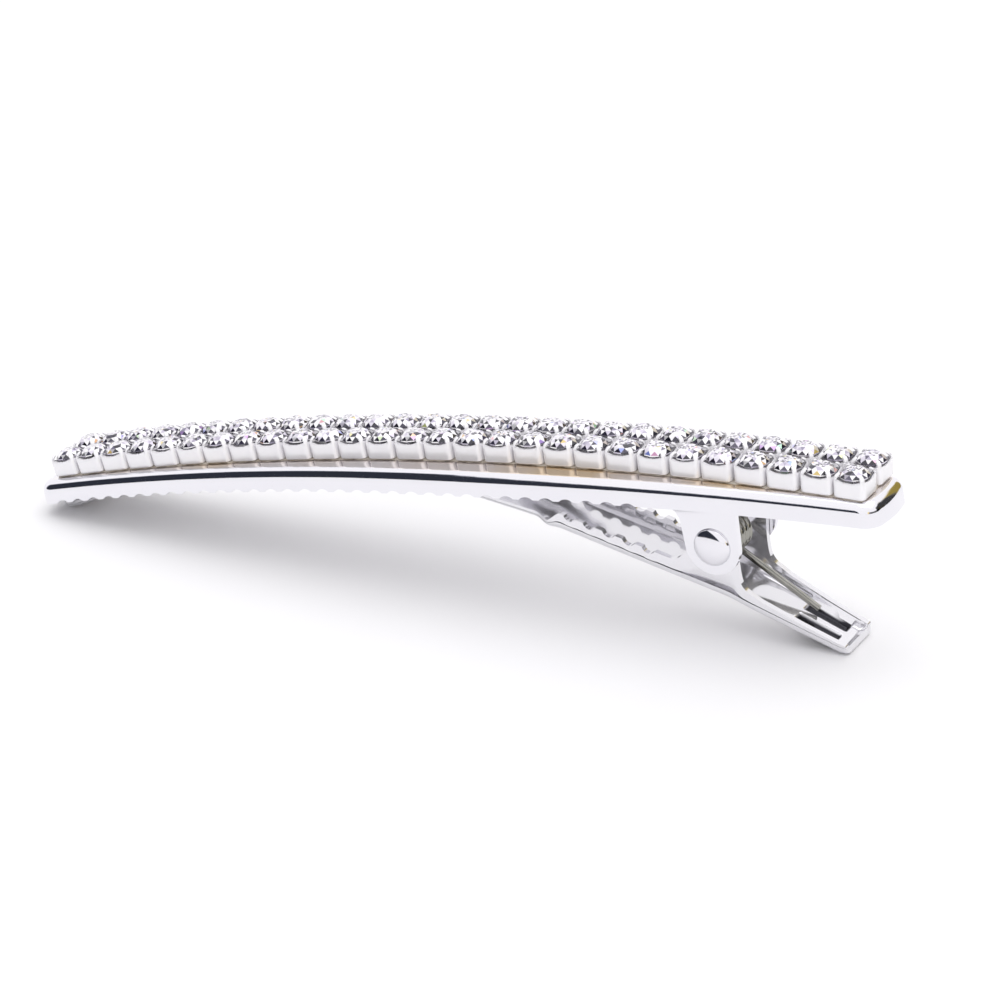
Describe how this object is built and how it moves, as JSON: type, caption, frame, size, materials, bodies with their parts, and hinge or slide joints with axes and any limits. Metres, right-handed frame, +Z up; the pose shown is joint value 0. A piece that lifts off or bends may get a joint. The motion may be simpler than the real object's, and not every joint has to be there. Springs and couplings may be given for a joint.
{
  "type": "rhinestone hair clip",
  "caption": "Long sprung alligator hair clip with an arched, toothed strap, two rows of claw-set crystals in square cups and a pivoting lower jaw with a thumb tab.",
  "frame": {"origin": "middle of the footprint on the table, under the clip as it lies on its tip and thumb tab", "axes": "+X from the jaw's tip to the thumb tab, +Y across the clip, +Z up"},
  "size_m": [0.0716, 0.0096, 0.0142],
  "materials": {
    "plated_steel": "bright mirror plate on pressed steel",
    "pin_steel": "bright plate",
    "spring_wire": "plated spring wire",
    "cup_metal": "bright silver plate on brass cups",
    "crystal": "clear faceted, foiled behind",
    "adhesive": "clear amber glue"
  },
  "bodies": {
    "strap": {"upper_jaw": "plated_steel", "pivot_pin": "pin_steel", "torsion_spring": "spring_wire", "glue_bed": "adhesive", "cup_chain_front": "cup_metal", "cup_chain_back": "cup_metal", "stone_pair_01": "crystal", "stone_pair_02": "crystal", "stone_pair_03": "crystal", "stone_pair_04": "crystal", "stone_pair_05": "crystal", "stone_pair_06": "crystal", "stone_pair_07": "crystal", "stone_pair_08": "crystal", "stone_pair_09": "crystal", "stone_pair_10": "crystal", "stone_pair_11": "crystal", "stone_pair_12": "crystal", "stone_pair_13": "crystal", "stone_pair_14": "crystal", "stone_pair_15": "crystal", "stone_pair_16": "crystal", "stone_pair_17": "crystal", "stone_pair_18": "crystal", "stone_pair_19": "crystal", "stone_pair_20": "crystal", "stone_pair_21": "crystal", "stone_pair_22": "crystal", "stone_pair_23": "crystal", "stone_pair_24": "crystal", "stone_pair_25": "crystal", "stone_pair_26": "crystal", "stone_pair_27": "crystal", "stone_pair_28": "crystal"},
    "lever": {"lower_jaw": "plated_steel"}
  },
  "joints": [
    {"name": "lever_hinge", "type": "hinge", "parent": "strap", "child": "lever", "pos_m": [0.02327, 0, 0.00725], "axis": [0, -1, 0], "range_deg": [0, 45], "stiffness_Nm_per_rad": 0.12, "springref_deg": -34.38, "deforming": ["torsion_spring"]}
  ]
}
